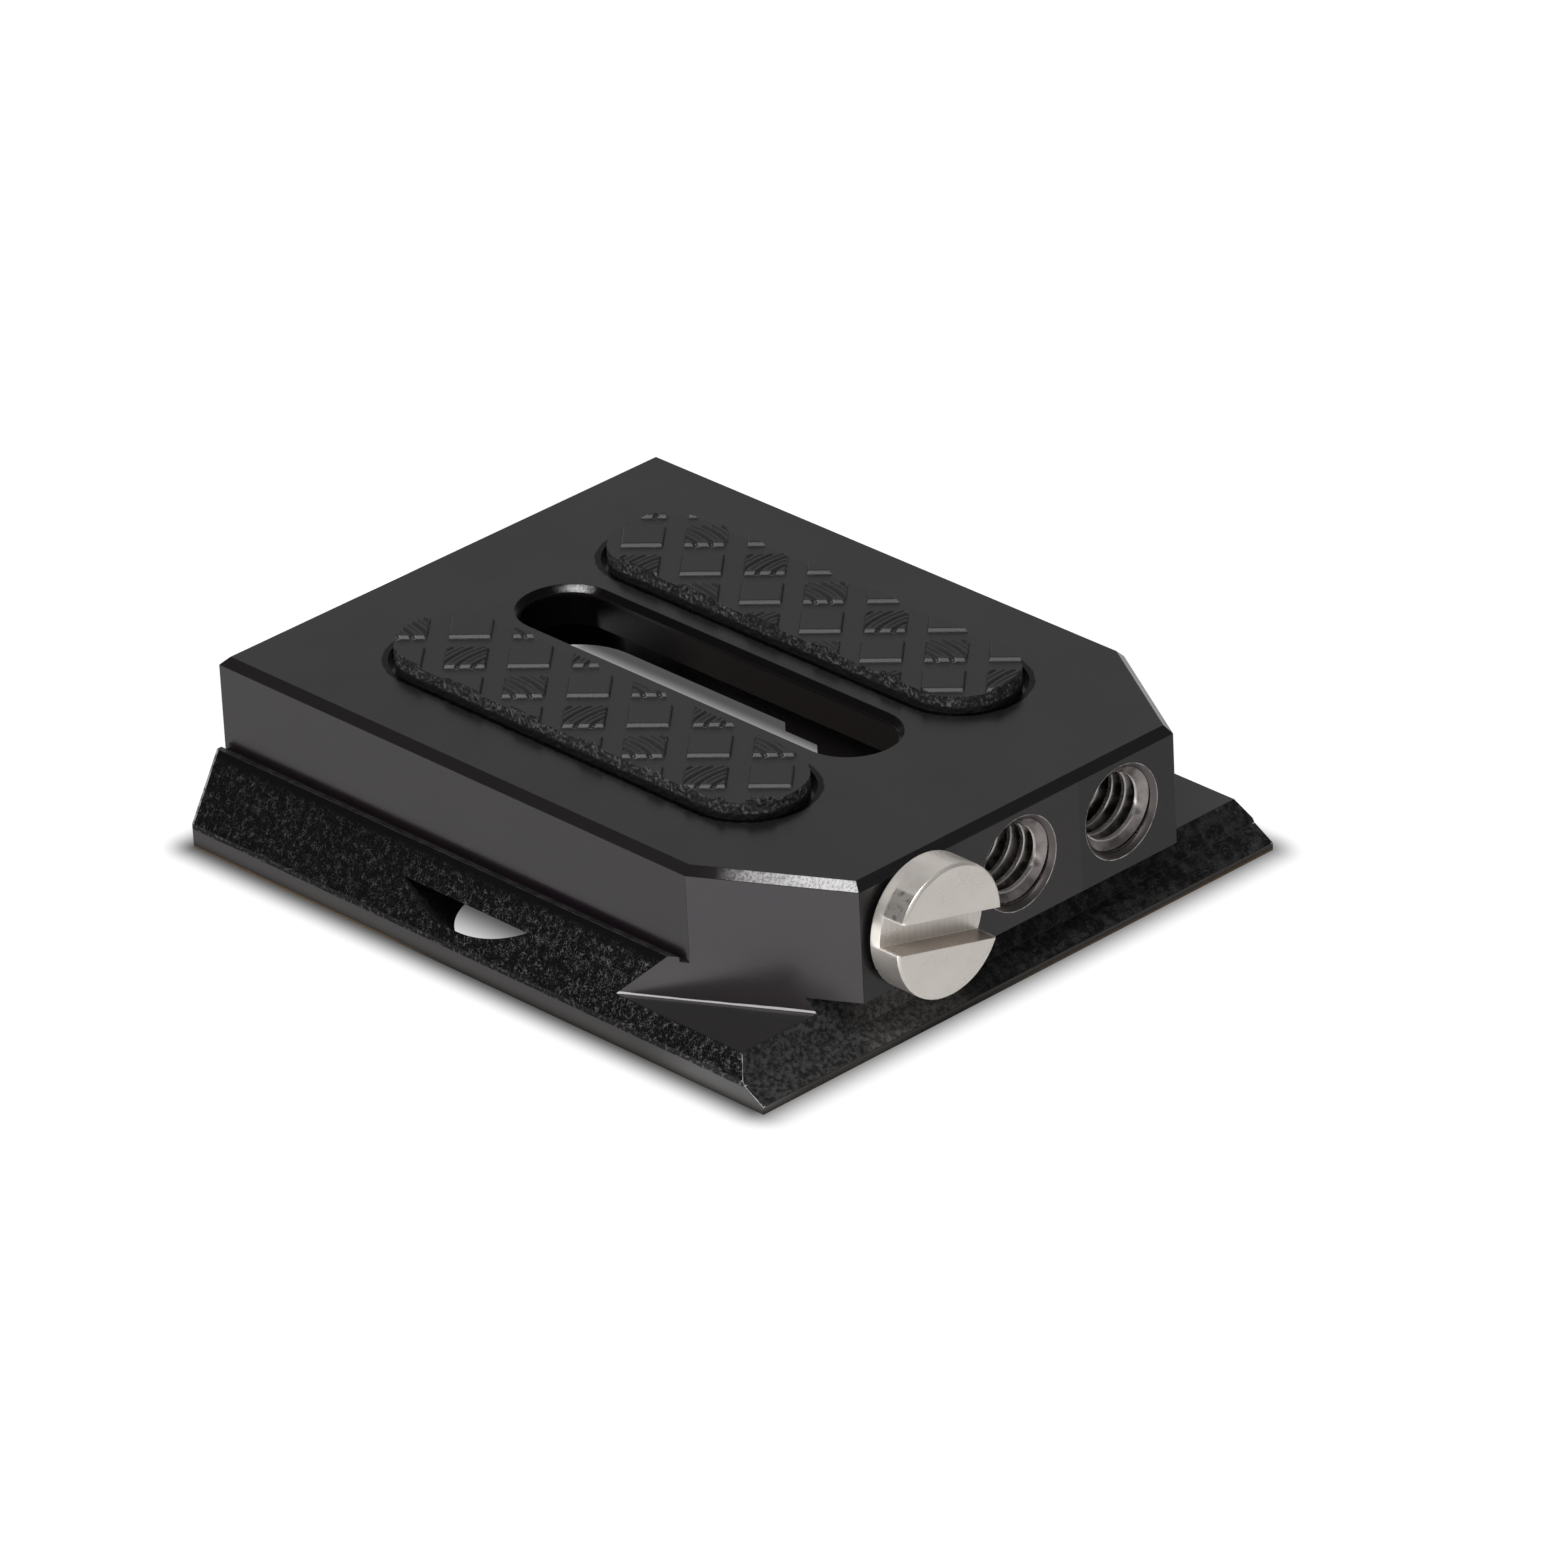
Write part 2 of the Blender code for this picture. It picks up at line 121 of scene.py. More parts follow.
# Pads
PAD_BASE_TOP = 1.05 * MM
PAD_TRIM = 0.1 * MM
PAD_OVERSIZE = 0.5 * MM
TILE_HALF = 1.55 * MM
TILE_PITCH = 4.55 * MM
TILE_TURN = math.radians(42)
TILE_RISE = 0.29 * MM
TILE_FOOT_RISE = 0.07 * MM
TILE_FOOT_RUN = 0.02 * MM
ROUNDED_FROM = 0.75
GROOVE_FLOOR = 0.02 * MM
FRONT_SLOPE = 0.25 * MM
SIDE_SLOPE = 0.09 * MM
LEFT_TILE_PLACE = (1.6 * MM, 33.4 * MM)
RIGHT_TILE_PLACE = (-1.3 * MM, 34.5 * MM)
RIB_CENTRE = (3.0 * MM, 3.9 * MM)
RIB_STEP = 0.49 * MM
RIB_FIRST = 0.83 * MM
RIB_SIZES = ((0.17 * MM, 0.15 * MM), (0.07 * MM, 0.12 * MM))
RIB_KEPT_EDGE = 0.45 * MM
SLOPE_LINES = (0, 0.02 * MM, 0.09 * MM, 0.15 * MM, 0.21 * MM, 0.28 * MM)
GAP_LINE = 0.08 * MM
PAD_CELL = 0.07 * MM
ROUGH_STEP = 0.1 * MM
ROUGH_DEPTH = 0.1 * MM
ROUGH_WAVES = ((0.8 * MM, 0.35), (0.2 * MM, 0.65))

# Floor
FLOOR_SIZE = 6
FLOOR_GAP = 0.03 * MM

# Shading
SMOOTH_ANGLE = math.radians(40)
EDGE_ANGLE = math.radians(24)
FLAT_ANGLE = math.radians(0.4)
SOCKETS = {"colour": "Base Color", "roughness": "Roughness", "metallic": "Metallic",
           "specular": "Specular IOR Level"}


def view_directions():
    """Right, up and back directions of the photograph's camera."""
    back = Vector((math.sin(VIEW_AZIMUTH) * math.cos(VIEW_ELEVATION),
                   -math.cos(VIEW_AZIMUTH) * math.cos(VIEW_ELEVATION),
                   math.sin(VIEW_ELEVATION)))
    right = Vector((math.cos(VIEW_AZIMUTH), math.sin(VIEW_AZIMUTH), 0))
    up = back.cross(right)
    tipped_right = right * math.cos(VIEW_ROLL) - up * math.sin(VIEW_ROLL)
    tipped_up = right * math.sin(VIEW_ROLL) + up * math.cos(VIEW_ROLL)
    return tipped_right, tipped_up, back


def add_object(name, data):
    item = bpy.data.objects.new(name, data)
    bpy.context.scene.collection.objects.link(item)
    return item


def add_camera():
    low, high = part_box("plate_body")
    middle = Vector((0, (low.y + high.y) / 2, 0))
    right, up, back = view_directions()
    data = bpy.data.cameras.new("camera")
    data.lens = LENS_LENGTH
    data.sensor_width = SENSOR_WIDTH
    camera = add_object("camera", data)
    turn = Matrix((right, up, back)).transposed().to_4x4()
    place = middle + right * VIEW_ACROSS + up * VIEW_UP + back * VIEW_DISTANCE
    camera.matrix_world = Matrix.Translation(place) @ turn
    bpy.context.scene.camera = camera


def add_lamp(name, direction, distance, size, radiance):
    """A flat lamp that faces the plate, with its strength given as seen brightness."""
    data = bpy.data.lights.new(name, "AREA")
    data.shape = "RECTANGLE"
    data.size, data.size_y = size
    data.energy = radiance * math.pi * size[0] * size[1]
    lamp = add_object(name, data)
    lamp.location = Vector(direction).normalized() * distance
    lamp.rotation_euler = Vector(direction).to_track_quat("Z", "Y").to_euler()


class Nodes:
    """Short calls for the nodes of one material or world."""

    def __init__(self, tree):
        self.tree = tree

    def new(self, kind, **settings):
        node = self.tree.nodes.new(kind)
        for key, value in settings.items():
            setattr(node, key, value)
        return node

    def link(self, source, target):
        self.tree.links.new(source, target)

    def put(self, value, socket):
        """Set a number on the socket itself, and link what varies."""
        if isinstance(value, (int, float)):
            socket.default_value = value
        else:
            self.link(value, socket)

    def math(self, operation, *values):
        node = self.new("ShaderNodeMath", operation=operation)
        for value, socket in zip(values, node.inputs):
            self.put(value, socket)
        return node.outputs[0]

    def chain(self, operation, values):
        return functools.reduce(lambda a, b: self.math(operation, a, b), values)

    def times(self, *values):
        return self.chain("MULTIPLY", values)

    def plus(self, *values):
        return self.chain("ADD", values)

    def minus(self, *values):
        return self.chain("SUBTRACT", values)

    def most(self, *values):
        return self.chain("MAXIMUM", values)

    def least(self, *values):
        return self.chain("MINIMUM", values)

    def absolute(self, value):
        return self.math("ABSOLUTE", value)

    def rise(self, value, low, high, at_low=0.0, at_high=1.0):
        node = self.new("ShaderNodeMapRange", interpolation_type="SMOOTHSTEP")
        for name, number in (("Value", value), ("From Min", low), ("From Max", high),
                             ("To Min", at_low), ("To Max", at_high)):
            self.put(number, node.inputs[name])
        return node.outputs["Result"]

    def fall(self, value, low, high):
        return self.rise(value, low, high, 1.0, 0.0)

    def mix(self, factor, first, second):
        node = self.new("ShaderNodeMix", data_type="RGBA")
        self.link(factor, node.inputs["Factor"])
        for name, value in (("A", first), ("B", second)):
            socket = [s for s in node.inputs if s.name == name and s.type == "RGBA"][0]
            if isinstance(value, tuple):
                socket.default_value = (*value, 1)
            else:
                self.link(value, socket)
        return [s for s in node.outputs if s.type == "RGBA"][0]

    def noise(self, scale, detail=2.0, roughness=0.5):
        node = self.new("ShaderNodeTexNoise")
        node.inputs["Scale"].default_value = scale
        node.inputs["Detail"].default_value = detail
        node.inputs["Roughness"].default_value = roughness
        self.link(self.spot(), node.inputs["Vector"])
        return node.outputs["Fac"]

    def spot(self):
        return self.new("ShaderNodeTexCoord").outputs["Object"]

    def split(self, vector):
        node = self.new("ShaderNodeSeparateXYZ")
        self.link(vector, node.inputs[0])
        return node.outputs

    def place(self):
        return self.split(self.spot())

    def normal(self):
        return self.split(self.new("ShaderNodeNewGeometry").outputs["Normal"])

    def length(self, x, y):
        return self.math("SQRT", self.plus(self.times(x, x), self.times(y, y)))

    def away(self, value, start, reach=1.0):
        """How far a value is past its start, in parts of the reach, and nothing before it."""
        return self.most(self.math("DIVIDE", self.minus(value, start), reach), 0.0)

    def toward(self, x, y, reach, angle):
        """How far the flat direction (x, y) / reach points along the given angle."""
        along = self.plus(self.times(x, math.cos(angle)), self.times(y, math.sin(angle)))
        return self.math("DIVIDE", along, reach)

    def waves(self, value, step):
        return self.math("SINE", self.times(value, 2 * math.pi / step))

    def fill(self, shader, **values):
        for name, value in values.items():
            self.put(value, shader.inputs[SOCKETS[name]])

    def bump(self, height, distance, strength, shader):
        node = self.new("ShaderNodeBump")
        node.inputs["Strength"].default_value = strength
        node.inputs["Distance"].default_value = distance
        self.link(height, node.inputs["Height"])
        self.link(node.outputs[0], shader.inputs["Normal"])

    def glow(self, kind, strength):
        node = self.new(kind)
        self.put(strength, node.inputs["Strength"])
        return node.outputs[0]

    def by_ray(self, kind, others, shown):
        """One shader for the rays of a kind, and one for all others."""
        path = self.new("ShaderNodeLightPath")
        node = self.new("ShaderNodeMixShader")
        for source, socket in zip((path.outputs[kind], others, shown), node.inputs):
            self.link(source, socket)
        return node.outputs[0]


def new_material(name):
    material = bpy.data.materials.new(name)
    material.use_nodes = True
    tree = material.node_tree
    return material, Nodes(tree), tree.nodes["Principled BSDF"]


def bare_nodes(owner):
    """The empty node tree of a material or world."""
    owner.use_nodes = True
    owner.node_tree.nodes.clear()
    return Nodes(owner.node_tree)


def hole_reach(nodes, x, z):
    """Distance from the nearest tapped hole's axis."""
    up = nodes.minus(z, HOLE_HEIGHT)
    return nodes.least(*[nodes.length(nodes.minus(x, step * HOLE_PITCH), up)
                         for step in (-1, 0, 1)])


def hole_masks(nodes, x, y, z, ny):
    """One inside the tapped holes past their countersinks, and one on the countersinks."""
    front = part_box("plate_body")[0].y
    reach = hole_reach(nodes, x, z)
    bore = nodes.times(nodes.fall(reach, THREAD_RADIUS, THREAD_RADIUS + 0.06 * MM),
                       nodes.rise(y, front + 0.3 * MM, front + 0.36 * MM),
                       nodes.fall(y, front + 10 * MM, front + 10.1 * MM))
    cone = nodes.times(nodes.fall(reach, MOUTH_RADIUS + 0.02 * MM, MOUTH_RADIUS + 0.06 * MM),
                       nodes.fall(y, front + 0.45 * MM, front + 0.5 * MM),
                       nodes.rise(ny, -0.95, -0.9))
    return bore, cone


def pad_shadow_band(nodes, x, y):
    """One close about the pads' outlines, with a wavy edge: the band where the pads' shadow
    is painted black on the plate's top.
    """
    off = []
    for node in ("grip_pad_left", "grip_pad_right"):
        low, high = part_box(node)
        radius = (high.x - low.x) / 2
        off_x = nodes.minus(x, (low.x + high.x) / 2)
        off_y = nodes.absolute(nodes.minus(y, (low.y + high.y) / 2))
        off_y = nodes.away(off_y, (high.y - low.y) / 2 - radius)
        off.append(nodes.minus(nodes.length(off_x, off_y), radius))
    wavy = nodes.plus(nodes.least(*off), nodes.times(nodes.noise(1300), 0.3 * MM))
    return nodes.fall(wavy, 0.9 * MM, 1.02 * MM)


def plate_masks(nodes, x, y, z):
    """Where each coat of PLATE_COATS lies, then the top's chamfer, the places painted black
    (painted shade by the slot and round the pads, and the coarse skin at the foot's top) and
    the pitted part of the foot."""
    nx, ny, nz = nodes.normal()
    low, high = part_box("plate_body")
    side = nodes.absolute(x)
    level = nodes.rise(nz, 0.95, 0.98)
    chamfer = nodes.times(nodes.rise(nz, 0.3, 0.4), nodes.fall(nz, 0.93, 0.97),
                          nodes.rise(z, 12.9 * MM, 13.1 * MM))
    before_end = nodes.fall(y, high.y - 3 * MM, high.y - 2 * MM)
    in_slot = nodes.times(nodes.fall(side, 5.8 * MM, 6 * MM),
                          nodes.fall(z, 13 * MM, 13.3 * MM))
    by_slot = nodes.times(nodes.fall(side, 4.5 * MM, 4.6 * MM), before_end,
                          nodes.rise(y, low.y + 6 * MM, low.y + 7 * MM))
    outer = nodes.rise(side, high.x - 0.1 * MM, high.x - 0.05 * MM)
    # painted light on the front foot, as if lit from the floor
    front_foot = nodes.times(nodes.fall(ny, -0.95, -0.85),
                             nodes.fall(z, 0.7 * MM, 0.8 * MM))
    # the side foot's smooth band, with painted light growing towards the floor
    side_foot = nodes.times(outer, nodes.rise(z, 0.0, 1.6 * MM, 1.0, 0.25))
    # painted glint along the bottom edge: the front foot's right part and the side feet
    # further back
    underside_glint = nodes.most(
        nodes.times(front_foot, nodes.rise(x, -8 * MM, 6 * MM)),
        nodes.times(nodes.rise(side_foot, 0.6, 0.9), nodes.rise(y, 4 * MM, 12 * MM)))

    facing = nodes.plus(nodes.times(nx, CUT_FACING[0]), nodes.times(ny, CUT_FACING[1]))
    corner_cut = nodes.rise(facing, 0.97, 0.99)
    bar_top = nodes.plus(nodes.times(nodes.noise(260), 0.22 * MM), 3.53 * MM)
    tipped = nodes.times(nodes.plus(facing, nz), math.sqrt(0.5))
    speckle = nodes.rise(nodes.noise(5200, 3, 0.7), 0.36, 0.6, 0.35, 1.0)

    wavy = nodes.plus(z, nodes.times(nodes.noise(1500), 0.15 * MM))
    foot_top = nodes.times(outer, nodes.rise(wavy, 1.52 * MM, 1.62 * MM),
                           nodes.fall(z, 2.1 * MM, 2.2 * MM))
    # painted shade: black on the slot's chamfer and on its walls towards the back end
    slot_edge_shade = nodes.times(chamfer, by_slot, nodes.fall(tipped, 0.94, 0.98))
    slot_back_shade = nodes.times(in_slot, nodes.rise(y, 6 * MM, 13 * MM, 0.0, 0.6), before_end)
    # painted shadow: a black band on the top face round the pads
    gap = nodes.times(pad_shadow_band(nodes, x, y), nodes.rise(z, 13.5 * MM, 13.6 * MM))
    coats = {
        # painted light on the faces that look left
        "left": nodes.fall(nx, -0.85, -0.5),
        "shelf": nodes.times(level, nodes.fall(z, 3.8 * MM, 4 * MM)),
        "slot_front": nodes.times(in_slot, nodes.fall(y, 8 * MM, 17 * MM)),
        "ledge": nodes.times(level, nodes.fall(z, 7.4 * MM, 7.5 * MM),
                             nodes.rise(side, 20 * MM, 20.2 * MM),
                             nodes.math("GREATER_THAN", z, 5 * MM),
                             nodes.rise(nodes.noise(900, 3), 0.35, 0.65, 0.2, 1.0)),
        "front_foot": front_foot,
        "side_foot": side_foot,
        "underside_glint": nodes.times(underside_glint, nodes.fall(z, 0.14 * MM, 0.22 * MM)),
        # painted light on the corner cut, lighter low down
        "corner_cut": corner_cut,
        "corner_low": nodes.times(corner_cut, nodes.fall(z, 4 * MM, 8 * MM)),
        "corner_bar": nodes.times(corner_cut, nodes.math("LESS_THAN", z, bar_top)),
        # painted highlight, mottled, on chamfers that face the cut corner's way
        "corner_rim": nodes.times(nodes.rise(tipped, 0.97, 0.985), chamfer, speckle,
                                  nodes.rise(by_slot, 0.0, 1.0, 1.0, 0.45)),
    }
    # painted shade by the slot and round the pads, and the foot's coarse black skin
    black = nodes.most(nodes.times(slot_edge_shade, 0.6), gap, slot_back_shade, foot_top)
    pitted = nodes.times(foot_top, nodes.rise(nodes.noise(3600), 0.5, 0.68))
    return coats, chamfer, black, pitted


def plate_material():
    """Blasted black anodising, bare in the holes; painted lighter on the left faces, the feet
    and the cut corner, with a near-white line at the cut's foot, painted glints along the
    underside and the corner's chamfer, and painted shade by the slot and round the pads.
    """
    material, nodes, shader = new_material("black_anodised")
    x, y, z = nodes.place()
    coats, chamfer, black, pitted = plate_masks(nodes, x, y, z)
    bore, cone = hole_masks(nodes, x, y, z, nodes.normal()[1])
    grain = nodes.noise(9000)
    colour = nodes.mix(nodes.rise(grain, 0.25, 0.75),
                       (0.0072, 0.0070, 0.0074), (0.0105, 0.0102, 0.0108))
    for name, coat in PLATE_COATS:
        colour = nodes.mix(coats[name], colour, coat)
    pits = nodes.mix(pitted, (0.004, 0.004, 0.004), (0.07, 0.067, 0.067))
    colour = nodes.mix(black, colour, pits)
    colour = nodes.mix(bore, colour, (0.11, 0.10, 0.095))
    colour = nodes.mix(cone, colour, (0.19, 0.17, 0.165))
    roughness = nodes.rise(nodes.noise(160, 3), 0.3, 0.7, 0.216, 0.276)
    roughness = nodes.minus(roughness, nodes.times(chamfer, 0.09))
    roughness = nodes.plus(roughness, nodes.times(cone, 0.12))
    nodes.fill(shader, colour=colour, roughness=roughness,
               metallic=nodes.most(bore, cone, black))
    relief = nodes.times(grain, nodes.rise(chamfer, 0.0, 1.0, 0.12, 0.5))
    nodes.bump(relief, 0.04 * MM, 0.7, shader)
    return material


def slope_material():
    """The dovetail's slopes: a coarse black skin with pale worm-like flecks, fewer towards
    the back and none high on the flank, where the shadow under the ledge is painted black;
    paler in front, with painted light towards the left and, palest, under the screw, and a
    painted glint at the back edge."""
    material, nodes, shader = new_material("coarse_black")
    x, y, z = nodes.place()
    low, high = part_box("plate_body")
    front = nodes.fall(nodes.normal()[1], -0.5, -0.2)
    worm = nodes.noise(3600, 2, 0.55)
    line = nodes.fall(nodes.absolute(nodes.minus(worm, 0.5)), 0.005, 0.045)
    patch = nodes.rise(nodes.noise(1900, 3), 0.42, 0.64)
    dots = nodes.rise(nodes.noise(7000), 0.52, 0.74)
    # How many flecks: none high on the flank, left black as painted shadow under the ledge,
    # and fewer towards the back
    shade = nodes.times(nodes.fall(z, 5.8 * MM, 6.5 * MM),
                        nodes.rise(y, low.y + 6 * MM, high.y - 12 * MM, 0.9, 0.4))
    fleck = nodes.times(nodes.plus(nodes.times(line, patch), nodes.times(dots, 0.25)),
                        nodes.most(shade, nodes.times(front, 0.6)))
    mottle = nodes.rise(nodes.noise(1200, 3, 0.6), 0.42, 0.68)
    fine = nodes.rise(nodes.noise(2600, 4, 0.65), 0.38, 0.64)

    pale_front = nodes.mix(mottle, (0.010, 0.0095, 0.0095), (0.034, 0.033, 0.033))
    pale_front = nodes.mix(nodes.times(fleck, 0.6), pale_front, (0.10, 0.098, 0.098))
    pale_left = nodes.mix(fine, (0.014, 0.0135, 0.0135), (0.062, 0.060, 0.060))
    lit = nodes.mix(fine, (0.07, 0.066, 0.063), (0.19, 0.18, 0.174))
    # painted light: the front slope lighter towards the left
    toward_left = nodes.times(front, nodes.fall(x, -14 * MM, 2 * MM), 0.85)
    off_screw = nodes.absolute(nodes.plus(x, 9.5 * MM))
    # painted light: the front slope palest under the screw
    by_screw = nodes.times(front, nodes.fall(off_screw, 2 * MM, 6 * MM), 0.9)
    # painted glint along the slopes' back edge
    rim = nodes.times(nodes.rise(y, high.y - 0.22 * MM, high.y - 0.16 * MM),
                      nodes.rise(nodes.noise(2500), 0.35, 0.55, 0.2, 1.0))
    colour = nodes.mix(fleck, (0.0025, 0.0024, 0.0025), (0.15, 0.144, 0.144))
    for mask, coat in ((front, pale_front), (toward_left, pale_left), (by_screw, lit),
                       (rim, (0.33, 0.32, 0.315))):
        colour = nodes.mix(mask, colour, coat)
    nodes.fill(shader, colour=colour, specular=0.06,
               roughness=nodes.rise(worm, 0.3, 0.7, 0.45, 0.75))
    nodes.bump(worm, 0.05 * MM, 0.8, shader)
    return material


def off_ridge(nodes, side, y, z):
    """Distance from the ridge where a flank meets the front flank, at a point's height."""
    low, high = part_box("plate_body")
    slope = math.tan(FLANK_LEAN)
    ridge_x = nodes.minus(high.x, nodes.times(nodes.away(z, FOOT_HEIGHT), slope))
    over = nodes.times(nodes.away(z, TOE_HEIGHT), slope)
    under = nodes.times(nodes.most(nodes.minus(TOE_HEIGHT, z), 0.0), 1 / slope)
    ridge_y = nodes.plus(nodes.minus(over, under), low.y + RIDGE_FROM_FRONT)
    return nodes.length(nodes.minus(side, ridge_x), nodes.minus(y, ridge_y))


def edge_material():
    """The plate's broken edges: polished by wear, pale at the hole mouths, with painted
    glints at the front corners and the back, and a painted warm glint round the underside."""
    material, nodes, shader = new_material("worn_edge_with_glints")
    x, y, z = nodes.place()
    low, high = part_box("plate_body")
    side = nodes.absolute(x)
    breaks = nodes.noise(1500, 3)
    # painted glint where a flank meets the front flank, low down
    ridge = nodes.times(nodes.fall(off_ridge(nodes, side, y, z), 0.15 * MM, 0.25 * MM),
                        nodes.fall(z, 3.3 * MM, 3.4 * MM))
    # painted glint along the back edges, faint
    back = nodes.times(nodes.rise(y, high.y - 0.2 * MM, high.y - 0.1 * MM),
                       nodes.fall(z, 7 * MM, 7.1 * MM), 0.3)
    off_mouth = nodes.absolute(nodes.minus(hole_reach(nodes, x, z), MOUTH_RADIUS))
    mouth = nodes.times(nodes.fall(off_mouth, 0.1 * MM, 0.14 * MM),
                        nodes.fall(y, low.y + 0.15 * MM, low.y + 0.2 * MM))
    pale = nodes.times(nodes.most(ridge, mouth, back),
                       nodes.rise(breaks, 0.35, 0.6, 0.3, 1.0))
    ledge = nodes.times(nodes.rise(z, 6.7 * MM, 6.75 * MM),
                        nodes.fall(z, 6.95 * MM, 7 * MM),
                        nodes.rise(breaks, 0.35, 0.65, 0.01, 0.05))
    # painted warm glint along the bottom edges
    warm_glint = nodes.times(nodes.fall(z, 0.1 * MM, 0.15 * MM), nodes.most(
        nodes.rise(y, 5 * MM, 20 * MM), nodes.fall(side, 23.8 * MM, 24 * MM)))
    coarse = nodes.times(nodes.rise(z, 1.5 * MM, 1.55 * MM),
                         nodes.fall(z, 2.05 * MM, 2.1 * MM))
    in_front = nodes.fall(y, low.y + 2 * MM, low.y + 3 * MM)
    colour = nodes.mix(nodes.times(coarse, in_front),
                       (0.010, 0.010, 0.0105), (0.03, 0.029, 0.029))
    colour = nodes.mix(nodes.most(pale, ledge), colour, (0.62, 0.61, 0.59))
    colour = nodes.mix(nodes.times(warm_glint, 0.8), colour, (0.50, 0.34, 0.20))
    nodes.fill(shader, colour=colour, metallic=nodes.times(warm_glint, 0.5), specular=0.3,
               roughness=nodes.rise(coarse, 0.0, 1.0, 0.24, 0.7))
    return material


def steel_material():
    """Pale matt steel: fine turning rings about the screw's axis, tool marks in its slot,
    and a nicked patch high on the head's left side."""
    material, nodes, shader = new_material("stainless_steel")
    x, y, z = nodes.place()
    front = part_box("camera_screw")[0].y
    across = nodes.plus(x, HOLE_PITCH)
    up = nodes.minus(z, HOLE_HEIGHT)
    reach = nodes.length(across, up)
    cloud = nodes.noise(500, 3)
    sunk = nodes.times(nodes.rise(y, front + 0.25 * MM, front + 0.4 * MM),
                       nodes.fall(reach, 4.7 * MM, 4.75 * MM))
    marks = nodes.rise(nodes.waves(across, TOOL_MARK_STEP), 0.2, 1.0, 0.0, 0.2)
    in_cut = nodes.times(nodes.fall(reach, 4.68 * MM, 4.72 * MM),
                         nodes.rise(nodes.normal()[2], 0.75, 0.9), 0.8)
    nick = nodes.times(nodes.rise(up, 2.2 * MM, 2.4 * MM),
                       nodes.fall(up, 3.85 * MM, 4.0 * MM),
                       nodes.rise(y, front + 0.15 * MM, front + 0.25 * MM),
                       nodes.fall(y, front + 1.9 * MM, front + 2.1 * MM),
                       nodes.fall(across, -2.5 * MM, -2.3 * MM), 0.85)
    nicked = nodes.mix(nodes.rise(nodes.noise(1800, 3, 0.6), 0.36, 0.52),
                       (0.12, 0.113, 0.105), (0.42, 0.40, 0.375))
    colour = nodes.mix(nodes.rise(cloud, 0.3, 0.7),
                       (0.88, 0.825, 0.765), (0.94, 0.885, 0.825))
    colour = nodes.mix(nodes.times(sunk, marks), colour, (0.62, 0.57, 0.52))
    colour = nodes.mix(in_cut, colour, (0.36, 0.30, 0.25))
    colour = nodes.mix(nick, colour, nicked)
    nodes.fill(shader, colour=colour, metallic=0.72,
               roughness=nodes.rise(cloud, 0.3, 0.7, 0.26, 0.36))
    rings = nodes.waves(nodes.plus(reach, y), TURNING_STEP)
    relief = nodes.plus(nodes.times(rings, 0.4), nodes.noise(6000))
    nodes.bump(relief, 0.001 * MM, 0.5, shader)
    return material


def thread_material():
    """Aluminium cut after anodising: bright crests, and flanks painted dark as the shade
    between them.
    """
    material, nodes, shader = new_material("bare_aluminium")
    x, y, z = nodes.place()
    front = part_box("plate_body")[0].y
    in_right = nodes.math("GREATER_THAN", x, HOLE_PITCH / 2)
    across = nodes.minus(x, nodes.times(in_right, HOLE_PITCH))
    reach = nodes.length(across, nodes.minus(z, HOLE_HEIGHT))
    cloud = nodes.noise(900, 3)
    mouth = nodes.fall(y, front + 0.6 * MM, front + 1.5 * MM)
    # painted shade: the flanks dark, the crests bright
    colour = nodes.mix(nodes.rise(cloud, 0.35, 0.7), (0.10, 0.085, 0.08), (0.44, 0.39, 0.38))
    colour = nodes.mix(nodes.times(mouth, 0.6), colour, (0.52, 0.47, 0.46))
    colour = nodes.mix(nodes.fall(reach, 2.52 * MM, 2.62 * MM), colour, (0.95, 0.92, 0.89))
    nodes.fill(shader, colour=colour, metallic=0.85,
               roughness=nodes.rise(cloud, 0.3, 0.7, 0.2, 0.36))
    nodes.bump(nodes.noise(5000, 3), 0.006 * MM, 0.5, shader)
    return material


def rubber_material():
    """Matt moulded rubber on top, torn open and dull on the cut sides, which are painted
    black low down as shade.
    """
    material, nodes, shader = new_material("pad_rubber")
    z = nodes.place()[2]
    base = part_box("plate_body")[1].z
    cut = nodes.fall(nodes.normal()[2], 0.15, 0.45)
    grain = nodes.noise(7000, 3)
    crumb = nodes.noise(3800, 4, 0.7)
    crumbs = nodes.times(nodes.rise(crumb, 0.46, 0.66),
                         nodes.rise(nodes.noise(900), 0.3, 0.65, 0.35, 1.2))
    wavy = nodes.plus(z, nodes.times(nodes.noise(1300), 0.3 * MM))
    above_shade = nodes.rise(wavy, base + 0.2 * MM, base + 0.45 * MM)
    top = nodes.mix(nodes.rise(grain, 0.3, 0.7),
                    (0.015, 0.015, 0.0155), (0.022, 0.022, 0.0225))
    torn = nodes.mix(nodes.times(crumbs, above_shade),
                     (0.013, 0.013, 0.0133), (0.16, 0.156, 0.16))
    # painted shade: the cut sides black below their torn upper part
    torn = nodes.mix(above_shade, (0.002, 0.002, 0.002), torn)
    nodes.fill(shader, colour=nodes.mix(cut, top, torn), specular=0.5,
               roughness=nodes.plus(nodes.times(cut, 0.3), 0.42))
    relief = nodes.plus(nodes.times(grain, 0.15), nodes.times(crumb, cut))
    nodes.bump(relief, 0.06 * MM, 0.6, shader)
    return material


def smooth(item):
    item.data.shade_smooth()
    item.data.set_sharp_from_angle(angle=SMOOTH_ANGLE)


